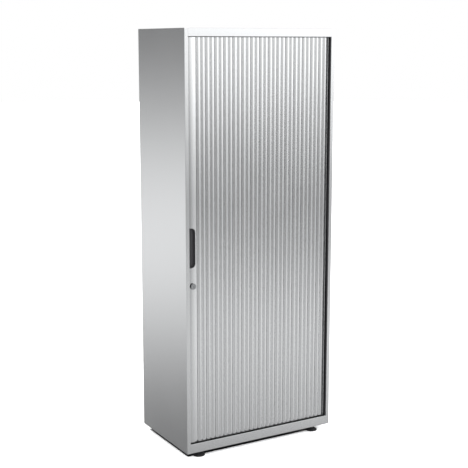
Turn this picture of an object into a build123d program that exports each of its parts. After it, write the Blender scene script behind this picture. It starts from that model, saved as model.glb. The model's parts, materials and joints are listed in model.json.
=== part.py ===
from build123d import *

import math
import os

# Side-opening tambour cupboard: a folded sheet-steel case on four levelling feet, shelves inside, and
# one curtain of upright ribbed slats that slides left to right in channels at the floor and under the
# top, round the right front corner and into a pocket along the right side and the back.
# Millimetres. The front faces -Y, +Z is up, and the origin is on the floor under the middle.

# Overall
WIDTH = 800.0
DEPTH = 470.0
HEIGHT = 1980.0
BODY_LIFT = 30.0  # floor to the case's underside

# Case
SHEET = 1.0
STILE = 18.0
TOP_RAIL = 37.0
BASE_RAIL = 44.0
HEM = 3.0  # how far the folded edges of stiles and rails turn inwards
REAR_FLANGE = 15.0

# Curtain and its channels
CURTAIN = 8.0  # thickness over ribs and knuckles
SETBACK = 11.0  # front face of the case to the ribs' crests
GROOVE_GAP = 0.5
TRACK_WALL = 2.0
TRACK_BASE = 3.0
TRACK_HEIGHT = 18.0
TRACK_GAP = 0.5  # channel to the sheet beside it
TRACK_RADIUS = 22.0  # the curtain's middle plane round a corner
BACK_RUN = 260.0
SLAT_COUNT = 15
RIB_DEPTH = 4.0
SLAT_WALL = 1.4
HINGE_WEB = 0.9  # the thin web between a slat's two ribs
BEAD_RADIUS = 1.3
SOCKET_GAP = 0.25
SOCKET_WALL = 0.85
KNUCKLE_SIDES = 8  # flats on the bead and in its socket
NECK = 0.8
SEAM = 1.8  # open groove between two slats
SEAM_GAP = 0.5  # slat end to the next slat's socket
SLAT_LIFT = 1.0  # slat end to the channel's floor
SLAT_HEADROOM = 2.0

# Lead slat
LEAD_WIDTH = 52.0
LEAD_CROWN = 4.5  # how far its arched face stands out in the middle
LEAD_TUCK = 4.0  # how far the closed lead slat reaches behind the left stile
LEAD_DEPTH = 16.0
LEAD_WALL = 1.8
LEAD_GAP = 3.0  # lead slat to the channel walls below and above it
GUIDE_FLANGE = 2.0
GUIDE_INSET = 2.0
GUIDE_PLUG = 24.0
GUIDE_SLACK = 0.3

# Handle cup
HANDLE_WIDTH = 30.0
HANDLE_HEIGHT = 183.0
HANDLE_Z = 1000.0
HANDLE_LIP = 1.0
HANDLE_LIP_DEEP = 3.4  # lip behind the lead slat's crest
HANDLE_FLANGE = 1.7
HANDLE_WALL = 1.5
HANDLE_DEPTH = 11.0
HANDLE_ROUND = 20.0
HANDLE_CORNER = 2.0
HANDLE_SLOPE = 9.0  # width of the sloping side that the fingers slide down
HANDLE_SLACK = 0.2

# Lock
LOCK_BELOW = 84.5  # handle cup's lower end to the lock's axis
LOCK_FACE = 25.0
LOCK_PROUD = 10.0
LOCK_LAND = 1.0  # depth of the flat spot under the lock's face
BARREL = 19.0
BARREL_SLACK = 0.15
BARREL_PAST = 5.0  # barrel behind the lead slat
NUT_ACROSS = 26.0
NUT_THICK = 4.0
PLUG = 14.0
PLUG_SLACK = 0.05
PLUG_SHY = 0.6  # plug face behind the case's front plane
KEYWAY = 1.6
KEYWAY_LONG = 8.0
KEYWAY_DEEP = 6.0
CAM_GAP = 1.0
CAM_THICK = 2.0
CAM_HUB = 10.0
CAM_REACH = 33.0
CAM_HALF_ANGLE = 22.0
CAM_SEAT = 8.0  # across the square that carries the cam
CAM_SEAT_PAST = 1.0
HOOK_SLACK = 0.4
HOOK_BACK_ANGLE = 9.0
STRIKE_REACH = 25.0  # lock axis to the strike's stud
STRIKE_STUD = 6.0
STRIKE_PLATE = 2.0
STRIKE_TALL = 40.0
STRIKE_TAB = 20.0
STRIKE_CLEAR = 3.0

# Stops and trim
BUFFER_GAP = 0.3
BUFFER_THICK = 8.0
BUFFER_TALL = 60.0
BUFFER_LEVELS = (0.1, 0.45, 0.9)
SEAL_SHOW = 5.0  # seal seen beside the right stile
SEAL_BEHIND = 6.0
SEAL_THICK = 3.0
SEAL_LIP = 2.0
SEAL_GAP = 0.5
NOSE_EDGE = 10.0
NOSE_WRAP = 8.0
NOSE_STOP = 3.5
NOSE_BACK = 5.0

# Inside
TRAY_GAP = 3.0  # lead slat to the floor tray
TRAY_SKIRT = 23.0
POST_DEPTH = 30.0
POST_SHEET = 1.5
LEFT_POST = 21.0
RIGHT_POST = 6.0
FRONT_POST_BACK = 60.0
REAR_POST_AHEAD = 57.0
SLOT_PITCH = 75.0
SLOT_TALL = 16.0
SLOT_WIDE = 6.0
SHELF_COUNT = 4
SHELF_SKIRT = 28.0
SHELF_LIP = 12.0
SHELF_SIDE_GAP = 2.0
SHELF_FRONT_BACK = 18.0
SHELF_REAR_GAP = 3.0
CLIP_PLATE = 1.5
CLIP_LEDGE = 10.0
CLIP_LEDGE_THICK = 3.0
CLIP_WIDE = 14.0
CLIP_RISE = 12.0
CLIP_TAB = 8.0
CLIP_HOOK = 1.8
CLIP_DROP = 4.0
CLIP_GAP = 0.2

# Feet
FOOT_IN_X = 80.0
FOOT_IN_Y = 38.0
PAD_DIAMETER = 58.0
PAD_SIDES = 24  # flats round the pad, for the fingers
PAD_EDGE = 5.0
PAD_COLLAR = 24.0
PAD_HEIGHT = 16.0
STUD = 10.0
STUD_SLACK = 0.15
STUD_PAST = 17.0
STUD_HEX = 17.0
STUD_HEX_GAP = 0.3
NUT_PLATE = 50.0
NUT_PLATE_DEEP = 28.0  # clear of the channels in front and behind
NUT_PLATE_THICK = 3.0
FOOT_NUT = 17.0
FOOT_NUT_TALL = 8.0
FOOT_TRAVEL = 15.0

# Planes of the case
LEFT, RIGHT = -WIDTH / 2, WIDTH / 2
FRONT, REAR = -DEPTH / 2, DEPTH / 2
IN_LEFT, IN_RIGHT = LEFT + SHEET, RIGHT - SHEET
BASE, TOP = BODY_LIFT, HEIGHT
IN_BASE, IN_TOP = BASE + SHEET, TOP - SHEET
SILL = BASE + BASE_RAIL

# The curtain's path in plan
TRACK_WIDTH = CURTAIN + 2 * GROOVE_GAP + 2 * TRACK_WALL
CREST_Y = FRONT + SETBACK
FRONT_RUN_Y = CREST_Y + CURTAIN / 2
SIDE_RUN_X = IN_RIGHT - TRACK_GAP - TRACK_WIDTH / 2
BACK_RUN_Y = REAR - 2 * SHEET - TRACK_GAP - TRACK_WIDTH / 2
CORNER_X = SIDE_RUN_X - TRACK_RADIUS
FRONT_CORNER_Y = FRONT_RUN_Y + TRACK_RADIUS
REAR_CORNER_Y = BACK_RUN_Y - TRACK_RADIUS
LINER_RADIUS = TRACK_RADIUS - TRACK_WIDTH / 2 - TRACK_GAP
LINER_X = CORNER_X + LINER_RADIUS - SHEET
LINER_Y = REAR_CORNER_Y + LINER_RADIUS - SHEET

# The curtain's pieces
LEAD_LEFT = LEFT + STILE - LEAD_TUCK
LEAD_RIGHT = LEAD_LEFT + LEAD_WIDTH
LEAD_REAR_Y = CREST_Y + LEAD_DEPTH
LEAD_LOW = IN_BASE + TRACK_HEIGHT + LEAD_GAP
LEAD_HIGH = IN_TOP - TRACK_HEIGHT - LEAD_GAP
SLAT_LOW = IN_BASE + TRACK_BASE + SLAT_LIFT
SLAT_HIGH = IN_TOP - TRACK_BASE - SLAT_HEADROOM
SLAT_PITCH = (CORNER_X - LEAD_RIGHT) / SLAT_COUNT
SOCKET_RADIUS = BEAD_RADIUS + SOCKET_GAP + SOCKET_WALL
KNUCKLE_Y = CREST_Y + CURTAIN - SOCKET_RADIUS
VALLEY_Y = CREST_Y + RIB_DEPTH
LEAD_END = LEAD_RIGHT - SOCKET_RADIUS - SEAM_GAP
LEAD_MIDDLE = (LEAD_LEFT + LEAD_END) / 2

# The lock's axis and planes, from front to back
LOCK_Z = HANDLE_Z - HANDLE_HEIGHT / 2 - LOCK_BELOW
BARREL_END_Y = LEAD_REAR_Y + BARREL_PAST
CAM_Y = BARREL_END_Y + CAM_GAP
STRIKE_TAB_Y = CAM_Y + CAM_THICK + STRIKE_CLEAR

# The inside
TRAY_FRONT = LEAD_REAR_Y + TRAY_GAP
SHELF_LEFT = IN_LEFT + LEFT_POST + SHELF_SIDE_GAP
SHELF_RIGHT = LINER_X - RIGHT_POST - SHELF_SIDE_GAP
SHELF_FRONT = LEAD_REAR_Y + SHELF_FRONT_BACK
SHELF_REAR = LINER_Y - SHELF_REAR_GAP
FRONT_POST_Y = FRONT + FRONT_POST_BACK
REAR_POST_Y = LINER_Y - REAR_POST_AHEAD


def block(x0, x1, y0, y1, z0, z1):
    """Box between two opposite corners."""
    middle = Pos((x0 + x1) / 2, (y0 + y1) / 2, (z0 + z1) / 2)
    return middle * Box(x1 - x0, y1 - y0, z1 - z0)


def rise(plan, z0, z1):
    """A plan drawn on the floor, carried up from z0 to z1."""
    return Pos(0, 0, z0) * extrude(plan, z1 - z0, dir=(0, 0, 1))


def area(*edges):
    """Flat face inside a closed run of edges."""
    return make_face(Curve() + list(edges))


def slab(x0, x1, y0, y1):
    """Rectangle in plan."""
    return Pos((x0 + x1) / 2, (y0 + y1) / 2) * Rectangle(x1 - x0, y1 - y0)


def quarter_ring(outer, inner, rear):
    """Quarter ring in plan about a corner's centre, turning a front or a rear corner."""
    y0, y1 = (0, outer) if rear else (-outer, 0)
    ring = (Circle(outer) - Circle(inner)) & slab(0, outer, y0, y1)
    return Pos(CORNER_X, REAR_CORNER_Y if rear else FRONT_CORNER_Y) * ring


def rod(x, z, diameter, y0, y1):
    """Round bar along Y."""
    return Pos(x, (y0 + y1) / 2, z) * Rot(90, 0, 0) * Cylinder(diameter / 2, y1 - y0)


def on_front(outline, x, z, y0, y1):
    """An outline drawn as seen from the front, carried back from y0 to y1."""
    plane = Plane(origin=(x, y0, z), x_dir=(1, 0, 0), z_dir=(0, -1, 0))
    return extrude(plane * outline, y1 - y0, dir=(0, 1, 0))


def hexagon(across):
    """Hexagon by its width across flats."""
    return RegularPolygon(across / 2, 6, major_radius=False)


# Case


def side_panel(side):
    """One folded sheet: side, front stile with its hem, and rear flange. side is -1 or 1."""
    outer = abs(LEFT)
    wall = block(outer - SHEET, outer, FRONT, REAR, BASE, TOP)
    stile = block(outer - STILE, outer, FRONT, FRONT + SHEET, BASE, TOP)
    hem = block(outer - STILE, outer - STILE + SHEET, FRONT, FRONT + HEM, IN_BASE, IN_TOP)
    flange = block(outer - REAR_FLANGE, outer, REAR - SHEET, REAR, BASE, TOP)
    panel = wall + stile + hem + flange
    return panel if side > 0 else mirror(panel, about=Plane.YZ)


def end_panel(sheet_low, rail_low, rail_high, hem_low, flange_low, flange_high):
    """Top or base: a sheet between the sides, with its front rail, the rail's hem and its rear flange."""
    sheet = block(IN_LEFT, IN_RIGHT, FRONT + SHEET, REAR - SHEET, sheet_low, sheet_low + SHEET)
    rail = block(LEFT + STILE, RIGHT - STILE, FRONT, FRONT + SHEET, rail_low, rail_high)
    hem = block(LEFT + STILE, RIGHT - STILE, FRONT, FRONT + HEM, hem_low, hem_low + SHEET)
    side = REAR_FLANGE
    flange = block(LEFT + side, RIGHT - side, REAR - SHEET, REAR, flange_low, flange_high)
    return sheet + rail + hem + flange


def top_panel():
    """Top sheet with the top rail folded down in front."""
    low = TOP - TOP_RAIL
    return end_panel(IN_TOP, low, TOP, low, TOP - REAR_FLANGE, TOP)


def foot_places():
    """Centre of each levelling foot in plan, by name."""
    x, y = RIGHT - FOOT_IN_X, REAR - FOOT_IN_Y
    return {
        "front_left": (-x, -y),
        "front_right": (x, -y),
        "rear_left": (-x, y),
        "rear_right": (x, y),
    }


def base_panel():
    """Base sheet with the base rail folded up in front, and a hole over each foot."""
    panel = end_panel(BASE, BASE, SILL, SILL - SHEET, BASE, BASE + REAR_FLANGE)
    for x, y in foot_places().values():
        hole = Pos(x, y, BASE + SHEET / 2) * Cylinder(STUD / 2 + STUD_SLACK, 2 * SHEET)
        panel = panel - hole
    return panel


def back_panel():
    """Flat back sheet inside the four rear flanges."""
    return block(IN_LEFT, IN_RIGHT, REAR - 2 * SHEET, REAR - SHEET, IN_BASE, IN_TOP)


# Pocket and channels


def pocket_side_liner():
    """Sheet between the shelves and the stored curtain: nose, right side and rear corner."""
    inner = LINER_RADIUS - SHEET
    nose_y = FRONT_CORNER_Y - LINER_RADIUS
    plan = slab(CORNER_X - NOSE_EDGE, CORNER_X, nose_y, nose_y + SHEET)
    plan += quarter_ring(LINER_RADIUS, inner, rear=False)
    plan += slab(LINER_X, LINER_X + SHEET, FRONT_CORNER_Y, REAR_CORNER_Y)
    plan += quarter_ring(LINER_RADIUS, inner, rear=True)
    return rise(plan, IN_BASE, IN_TOP)


def pocket_back_liner():
    """Sheet in front of the curtain's run along the back, across the whole inside."""
    return block(IN_LEFT, CORNER_X, LINER_Y, LINER_Y + SHEET, IN_BASE, IN_TOP)


def channel(outer_plan, groove_plan, top):
    """Grooved channel on the base sheet, or the same upside down under the top sheet."""
    if top:
        low, high = IN_TOP - TRACK_HEIGHT, IN_TOP
        return rise(outer_plan, low, high) - rise(groove_plan, low, high - TRACK_BASE)
    low, high = IN_BASE, IN_BASE + TRACK_HEIGHT
    return rise(outer_plan, low, high) - rise(groove_plan, low + TRACK_BASE, high)


def track(run, top):
    """One straight channel: the front, side or back run."""
    full, groove = TRACK_WIDTH / 2, TRACK_WIDTH / 2 - TRACK_WALL
    plans = []
    for half in (full, groove):
        if run == "front":
            plans.append(slab(IN_LEFT, CORNER_X, FRONT_RUN_Y - half, FRONT_RUN_Y + half))
        elif run == "side":
            x0, x1 = SIDE_RUN_X - half, SIDE_RUN_X + half
            plans.append(slab(x0, x1, FRONT_CORNER_Y, REAR_CORNER_Y))
        else:
            y0, y1 = BACK_RUN_Y - half, BACK_RUN_Y + half
            plans.append(slab(CORNER_X - BACK_RUN, CORNER_X, y0, y1))
    return channel(*plans, top)


def corner_tracks():
    """Four curved channels that join the straight ones at the two right corners."""
    full, groove = TRACK_WIDTH / 2, TRACK_WIDTH / 2 - TRACK_WALL
    corners = []
    for rear in (False, True):
        outer = quarter_ring(TRACK_RADIUS + full, TRACK_RADIUS - full, rear)
        inner = quarter_ring(TRACK_RADIUS + groove, TRACK_RADIUS - groove, rear)
        corners += [channel(outer, inner, top) for top in (False, True)]
    return corners


# Curtain


def bead_plan(x):
    """Eight-sided bead at x and the neck that carries it, reaching left to a slat's end wall."""
    bead = Pos(x, KNUCKLE_Y) * RegularPolygon(BEAD_RADIUS, KNUCKLE_SIDES)
    reach = SOCKET_RADIUS + SEAM_GAP + SLAT_WALL
    neck = slab(x - reach, x, KNUCKLE_Y - NECK / 2, KNUCKLE_Y + NECK / 2)
    return bead + neck


def socket_plan(x):
    """Solid block of the socket round the bead at x."""
    bore = BEAD_RADIUS + SOCKET_GAP
    return Pos(x, KNUCKLE_Y) * slab(-bore, SOCKET_RADIUS, -SOCKET_RADIUS, SOCKET_RADIUS)


def socket_room(x):
    """What a socket leaves open round the bead at x: its bore, and a mouth on the left for the neck."""
    mouth = NECK / 2 + SOCKET_GAP
    bore = RegularPolygon(BEAD_RADIUS + SOCKET_GAP, KNUCKLE_SIDES)
    return Pos(x, KNUCKLE_Y) * (bore + slab(-2 * SOCKET_RADIUS, 0, -mouth, mouth))


def ribs_plan(x0, x1):
    """Two arched ribs from x0 to x1, joined by a thin web that lets the slat fold."""
    middle = (x0 + x1) / 2
    left, right = (x0 + middle) / 2, (middle + x1) / 2
    back_y = VALLEY_Y + SLAT_WALL
    under_y = CREST_Y + SLAT_WALL
    web_y = VALLEY_Y + HINGE_WEB
    return area(
        ThreePointArc((x0, VALLEY_Y), (left, CREST_Y), (middle, VALLEY_Y)),
        ThreePointArc((middle, VALLEY_Y), (right, CREST_Y), (x1, VALLEY_Y)),
        Line((x1, VALLEY_Y), (x1, back_y)),
        ThreePointArc((x1, back_y), (right, under_y), (middle, web_y)),
        ThreePointArc((middle, web_y), (left, under_y), (x0, back_y)),
        Line((x0, back_y), (x0, VALLEY_Y)),
    )


def knuckle_x(index):
    """Centre of the joint on the right of slat number index. The lead slat is number 0."""
    return LEAD_RIGHT + index * SLAT_PITCH


def slat(index):
    """Ribbed slat number index, counted from the lead slat: a socket on its left, a bead on its right."""
    knuckle, following = knuckle_x(index - 1), knuckle_x(index)
    end = following - SOCKET_RADIUS - SEAM_GAP
    start = end + SEAM - SLAT_PITCH
    heel = slab(end - SLAT_WALL, end, VALLEY_Y + SLAT_WALL / 2, KNUCKLE_Y + NECK / 2)
    socket = socket_plan(knuckle)
    plan = ribs_plan(start, end) + socket - socket_room(knuckle) + heel + bead_plan(following)
    return rise(plan, SLAT_LOW, SLAT_HIGH)


def curtain_tail():
    """Plain end strip, hooked on the last slat, that stays in the corner when the curtain is closed."""
    knuckle = knuckle_x(SLAT_COUNT)
    half = SLAT_WALL / 2
    bend = quarter_ring(TRACK_RADIUS + half, TRACK_RADIUS - half, rear=False)
    plan = bend + socket_plan(knuckle) - socket_room(knuckle)
    return rise(plan, SLAT_LOW, SLAT_HIGH)


def handle_outline(margin):
    """The cup's D, flat on the left and rounded on the right, less a margin all round."""
    width, height = HANDLE_WIDTH - 2 * margin, HANDLE_HEIGHT - 2 * margin
    outline = Rectangle(width, height)
    right = outline.vertices().sort_by(Axis.X)[-2:]
    outline = fillet(right, HANDLE_ROUND - margin)
    left = outline.vertices().sort_by(Axis.X)[:2]
    return fillet(left, HANDLE_CORNER)


def crowned(left, right, front_y, rear_y):
    """Plan of a bar with an arched front, front_y at its middle, and square sides."""
    edge_y = front_y + LEAD_CROWN
    return area(
        ThreePointArc((left, edge_y), ((left + right) / 2, front_y), (right, edge_y)),
        Line((right, edge_y), (right, rear_y)),
        Line((right, rear_y), (left, rear_y)),
        Line((left, rear_y), (left, edge_y)),
    )


def lead_slat():
    """Hollow leading slat with the handle's and the lock's cut-outs and a bead for the first slat."""
    inner_left, inner_right = LEAD_LEFT + LEAD_WALL, LEAD_END - LEAD_WALL
    skin = crowned(LEAD_LEFT, LEAD_END, CREST_Y, LEAD_REAR_Y)
    hollow = crowned(inner_left, inner_right, CREST_Y + LEAD_WALL, LEAD_REAR_Y - LEAD_WALL)
    neck = bead_plan(LEAD_RIGHT) - slab(LEAD_LEFT, inner_right, CREST_Y, LEAD_REAR_Y)
    solid = rise(skin - hollow + neck, LEAD_LOW, LEAD_HIGH)
    mouth_end = CREST_Y + LEAD_CROWN + LEAD_WALL
    mouth = handle_outline(-HANDLE_SLACK)
    solid -= on_front(mouth, LEAD_MIDDLE, HANDLE_Z, FRONT, mouth_end)
    land = LOCK_FACE + 2 * BARREL_SLACK
    solid -= rod(LEAD_MIDDLE, LOCK_Z, land, FRONT, CREST_Y + LOCK_LAND)
    bore = BARREL + 2 * BARREL_SLACK
    return solid - rod(LEAD_MIDDLE, LOCK_Z, bore, FRONT, LEAD_REAR_Y + LEAD_WALL)


def lead_guides():
    """Plastic shoes plugged into the lead slat's ends, each with a tongue in a channel."""
    inset = LEAD_WALL + GUIDE_SLACK
    plug = crowned(LEAD_LEFT + inset, LEAD_END - inset, CREST_Y + inset, LEAD_REAR_Y - inset)
    flange = crowned(LEAD_LEFT, LEAD_END, CREST_Y, LEAD_REAR_Y)
    tongue = slab(LEAD_LEFT + GUIDE_INSET, LEAD_END - GUIDE_INSET, CREST_Y, CREST_Y + CURTAIN)
    shoes = []
    for tip, end, inward in ((SLAT_LOW, LEAD_LOW, 1), (SLAT_HIGH, LEAD_HIGH, -1)):
        flange_end = end - inward * GUIDE_FLANGE
        shoe = rise(tongue, *sorted((tip, flange_end)))
        shoe += rise(flange, *sorted((flange_end, end)))
        shoes.append(shoe + rise(plug, *sorted((end, end + inward * GUIDE_PLUG))))
    return shoes


def handle_cup():
    """Recessed pull with a lip on the lead slat's face and one sloping side."""
    floor_y = CREST_Y + HANDLE_DEPTH
    lip_end = CREST_Y + HANDLE_LIP_DEEP
    lip = on_front(handle_outline(0), LEAD_MIDDLE, HANDLE_Z, CREST_Y - HANDLE_LIP, lip_end)
    body = handle_outline(HANDLE_FLANGE)
    cup = lip + on_front(body, LEAD_MIDDLE, HANDLE_Z, lip_end, floor_y + HANDLE_WALL)
    pocket = handle_outline(HANDLE_FLANGE + HANDLE_WALL)
    pocket = on_front(pocket, LEAD_MIDDLE, HANDLE_Z, CREST_Y - 2 * HANDLE_LIP, floor_y)
    left = LEAD_MIDDLE - HANDLE_WIDTH / 2 + HANDLE_FLANGE + HANDLE_WALL
    slope = area(
        Line((left, CREST_Y), (left + HANDLE_SLOPE, floor_y)),
        Line((left + HANDLE_SLOPE, floor_y), (left, floor_y)),
        Line((left, floor_y), (left, CREST_Y)),
    )
    half = HANDLE_HEIGHT / 2
    return cup - (pocket - rise(slope, HANDLE_Z - half, HANDLE_Z + half))


# Lock


def lock_housing():
    """Round lock body: a proud face and a barrel through the lead slat."""
    face_y = CREST_Y - LOCK_PROUD
    seat_y = CREST_Y + LOCK_LAND
    head = rod(LEAD_MIDDLE, LOCK_Z, LOCK_FACE, face_y, seat_y)
    body = head + rod(LEAD_MIDDLE, LOCK_Z, BARREL, seat_y, BARREL_END_Y)
    bore = PLUG + 2 * PLUG_SLACK
    return body - rod(LEAD_MIDDLE, LOCK_Z, bore, face_y - PLUG, BARREL_END_Y + PLUG)


def lock_nut():
    """Hexagon nut that clamps the lock body from behind."""
    nut = on_front(hexagon(NUT_ACROSS), LEAD_MIDDLE, LOCK_Z, LEAD_REAR_Y, LEAD_REAR_Y + NUT_THICK)
    return nut - rod(LEAD_MIDDLE, LOCK_Z, BARREL, LEAD_REAR_Y - NUT_THICK, BARREL_END_Y)


def lock_plug():
    """Turning plug with its keyway, and the seat that carries the cam."""
    face_y = CREST_Y - LOCK_PROUD + PLUG_SHY
    plug = rod(LEAD_MIDDLE, LOCK_Z, PLUG, face_y, CAM_Y)
    square = Rectangle(CAM_SEAT, CAM_SEAT)
    seat_end = CAM_Y + CAM_THICK + CAM_SEAT_PAST
    seat = on_front(square, LEAD_MIDDLE, LOCK_Z, CAM_Y, seat_end)
    half, long = KEYWAY / 2, KEYWAY_LONG / 2
    x0, x1 = LEAD_MIDDLE - half, LEAD_MIDDLE + half
    keyway = block(x0, x1, face_y, face_y + KEYWAY_DEEP, LOCK_Z - long, LOCK_Z + long)
    return plug + seat - keyway


def lock_cam():
    """Hooked cam, hanging down when unlocked. A quarter turn takes its slot over the strike's stud."""
    def ray(angle, radius):
        turn = math.radians(angle - 90)
        return (radius * math.cos(turn), radius * math.sin(turn))

    def sector(outer, inner, start, end):
        middle = (start + end) / 2
        return area(
            ThreePointArc(ray(start, outer), ray(middle, outer), ray(end, outer)),
            Line(ray(end, outer), ray(end, inner)),
            ThreePointArc(ray(end, inner), ray(middle, inner), ray(start, inner)),
            Line(ray(start, inner), ray(start, outer)),
        )

    hub = Circle(CAM_HUB)
    arm = sector(CAM_REACH, CAM_HUB / 2, -CAM_HALF_ANGLE, CAM_HALF_ANGLE)
    slot_half = STRIKE_STUD / 2 + HOOK_SLACK
    slot = sector(
        STRIKE_REACH + slot_half,
        STRIKE_REACH - slot_half,
        -2 * CAM_HALF_ANGLE,
        HOOK_BACK_ANGLE,
    )
    outline = hub + arm - slot - Rectangle(CAM_SEAT, CAM_SEAT)
    return on_front(outline, LEAD_MIDDLE, LOCK_Z, CAM_Y, CAM_Y + CAM_THICK)


def lock_strike():
    """Bracket on the left side with the stud that the cam hooks."""
    stud_x = LEAD_MIDDLE - STRIKE_REACH
    tab_right = stud_x + STRIKE_STUD
    tab_end = STRIKE_TAB_Y + STRIKE_PLATE
    half_tall, half_tab = STRIKE_TALL / 2, STRIKE_TAB / 2
    plate_right = IN_LEFT + STRIKE_PLATE
    plate = block(
        IN_LEFT, plate_right, STRIKE_TAB_Y, tab_end + STRIKE_TAB, LOCK_Z - half_tall, LOCK_Z + half_tall
    )
    tab = block(IN_LEFT, tab_right, STRIKE_TAB_Y, tab_end, LOCK_Z - half_tab, LOCK_Z + half_tab)
    stud = rod(stud_x, LOCK_Z, STRIKE_STUD, CAM_Y - CAM_THICK, STRIKE_TAB_Y)
    return plate + tab + stud


# Stops and trim


def closing_buffers():
    """Rubber blocks on the left side that the closed lead slat meets."""
    y0 = FRONT_RUN_Y - BUFFER_THICK / 2
    x1 = LEAD_LEFT - BUFFER_GAP
    blocks = []
    for share in BUFFER_LEVELS:
        z0 = LEAD_LOW + share * (LEAD_HIGH - LEAD_LOW) - BUFFER_TALL / 2
        blocks.append(block(IN_LEFT, x1, y0, y0 + BUFFER_THICK, z0, z0 + BUFFER_TALL))
    return blocks


def right_edge_seal():
    """Dark strip behind the right stile that wipes the curtain as it turns the corner."""
    inner = RIGHT - STILE
    y0 = FRONT + HEM
    strip = block(inner - SEAL_SHOW, inner + SEAL_BEHIND, y0, y0 + SEAL_THICK, LEAD_LOW, LEAD_HIGH)
    x0 = inner - SEAL_SHOW
    lip = block(x0, x0 + SEAL_LIP, y0, CREST_Y - SEAL_GAP, LEAD_LOW, LEAD_HIGH)
    return strip + lip


def nose_trim():
    """Soft edging on the liner's front edge, and the lead slat's stop when open."""
    nose_y = FRONT_CORNER_Y - LINER_RADIUS
    edge = CORNER_X - NOSE_EDGE
    front = nose_y - TRACK_WALL
    plan = slab(edge - NOSE_STOP, edge + NOSE_WRAP, front, nose_y + SHEET + NOSE_BACK)
    plan -= slab(edge, edge + 2 * NOSE_WRAP, nose_y, nose_y + SHEET)
    return rise(plan, LEAD_LOW, LEAD_HIGH)


# Inside


def corner_keep(plan):
    """A plan with its right corners rounded to lie inside the pocket's liner."""
    inner = LINER_RADIUS - SHEET
    for y, y0, y1 in (
        (FRONT_CORNER_Y, FRONT, FRONT_CORNER_Y),
        (REAR_CORNER_Y, REAR_CORNER_Y, REAR),
    ):
        corner = slab(CORNER_X, RIGHT, y0, y1) - Pos(CORNER_X, y) * Circle(inner)
        plan -= corner
    return plan


def floor_tray():
    """Inner floor level with the base rail, with a folded front skirt."""
    sheet = rise(corner_keep(slab(IN_LEFT, LINER_X, TRAY_FRONT, LINER_Y)), SILL - SHEET, SILL)
    skirt_low = SILL - SHEET - TRAY_SKIRT
    skirt = slab(IN_LEFT, LINER_X, TRAY_FRONT, TRAY_FRONT + SHEET)
    return sheet + rise(corner_keep(skirt), skirt_low, SILL - SHEET)


def slot_levels():
    """Lower edge of each slot in the shelf posts."""
    count = int((IN_TOP - SLOT_TALL - SILL) // SLOT_PITCH)
    return [SILL + SLOT_PITCH * k for k in range(1, count + 1)]


def shelf_levels():
    """Lower edge of each shelf's skirt, which rests on clips in the slots."""
    bay = (IN_TOP - SILL) / (SHELF_COUNT + 1)
    return [SILL + SLOT_PITCH * int(k * bay / SLOT_PITCH) for k in range(1, SHELF_COUNT + 1)]


def post_spans(side):
    """Wall face, inner face and the inner face of the web of a post on one side."""
    if side < 0:
        face = IN_LEFT + LEFT_POST
        return IN_LEFT, face, face - POST_SHEET
    face = LINER_X - RIGHT_POST
    return LINER_X, face, face + POST_SHEET


def post(side, y0):
    """Slotted channel for the shelf clips, standing on the floor tray."""
    wall_x, face_x, web_x = post_spans(side)
    y1 = y0 + POST_DEPTH
    shape = slab(*sorted((wall_x, face_x)), y0, y1)
    shape -= slab(*sorted((wall_x, web_x)), y0 + POST_SHEET, y1 - POST_SHEET)
    solid = rise(shape, SILL, IN_TOP)
    middle = (y0 + y1) / 2
    for z in slot_levels():
        solid -= block(
            *sorted((web_x, face_x)), middle - SLOT_WIDE / 2, middle + SLOT_WIDE / 2, z, z + SLOT_TALL
        )
    return solid


def shelf(number):
    """Folded shelf: a sheet with skirts all round and a stiffening lip under the front edge."""
    low = shelf_levels()[number - 1]
    high = low + SHELF_SKIRT
    outer = block(SHELF_LEFT, SHELF_RIGHT, SHELF_FRONT, SHELF_REAR, low, high)
    hollow = block(
        SHELF_LEFT + SHEET, SHELF_RIGHT - SHEET, SHELF_FRONT + SHEET, SHELF_REAR - SHEET, low, high - SHEET
    )
    lip = block(
        SHELF_LEFT + SHEET, SHELF_RIGHT - SHEET, SHELF_FRONT, SHELF_FRONT + SHELF_LIP, low, low + SHEET
    )
    return outer - hollow + lip


def shelf_clips():
    """Four hooked clips under each shelf, one in each post."""
    clips = []
    for z in shelf_levels():
        for side in (-1, 1):
            wall_x, face_x, web_x = post_spans(side)
            out = 1 if side < 0 else -1
            for y0 in (FRONT_POST_Y, REAR_POST_Y):
                middle = y0 + POST_DEPTH / 2
                wide = (middle - CLIP_WIDE / 2, middle + CLIP_WIDE / 2)
                thin = (middle - SLOT_WIDE / 2, middle + SLOT_WIDE / 2)
                plate_x = sorted((face_x, face_x + out * CLIP_PLATE))
                ledge_x = sorted((face_x, face_x + out * CLIP_LEDGE))
                hook_end = web_x - out * (CLIP_GAP + CLIP_HOOK)
                tab_x = sorted((face_x, hook_end))
                hook_x = sorted((web_x - out * CLIP_GAP, hook_end))
                clip = block(*plate_x, *wide, z - CLIP_LEDGE_THICK, z + CLIP_RISE)
                clip += block(*ledge_x, *wide, z - CLIP_LEDGE_THICK, z)
                clip += block(*tab_x, *thin, z, z + CLIP_TAB)
                clip += block(*hook_x, *thin, z - CLIP_DROP, z + CLIP_TAB)
                clips.append(clip)
    return clips


# Feet


def foot_nuts():
    """Weld plate and nut over each foot, on the base sheet."""
    nuts = []
    for x, y in foot_places().values():
        plate = Pos(x, y) * Rectangle(NUT_PLATE, NUT_PLATE_DEEP)
        nut = Pos(x, y) * hexagon(FOOT_NUT)
        bore = Pos(x, y) * Circle(STUD / 2 + STUD_SLACK)
        plate_top = IN_BASE + NUT_PLATE_THICK
        solid = rise(plate - bore, IN_BASE, plate_top)
        nuts.append(solid + rise(nut - bore, plate_top, plate_top + FOOT_NUT_TALL))
    return nuts


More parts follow.
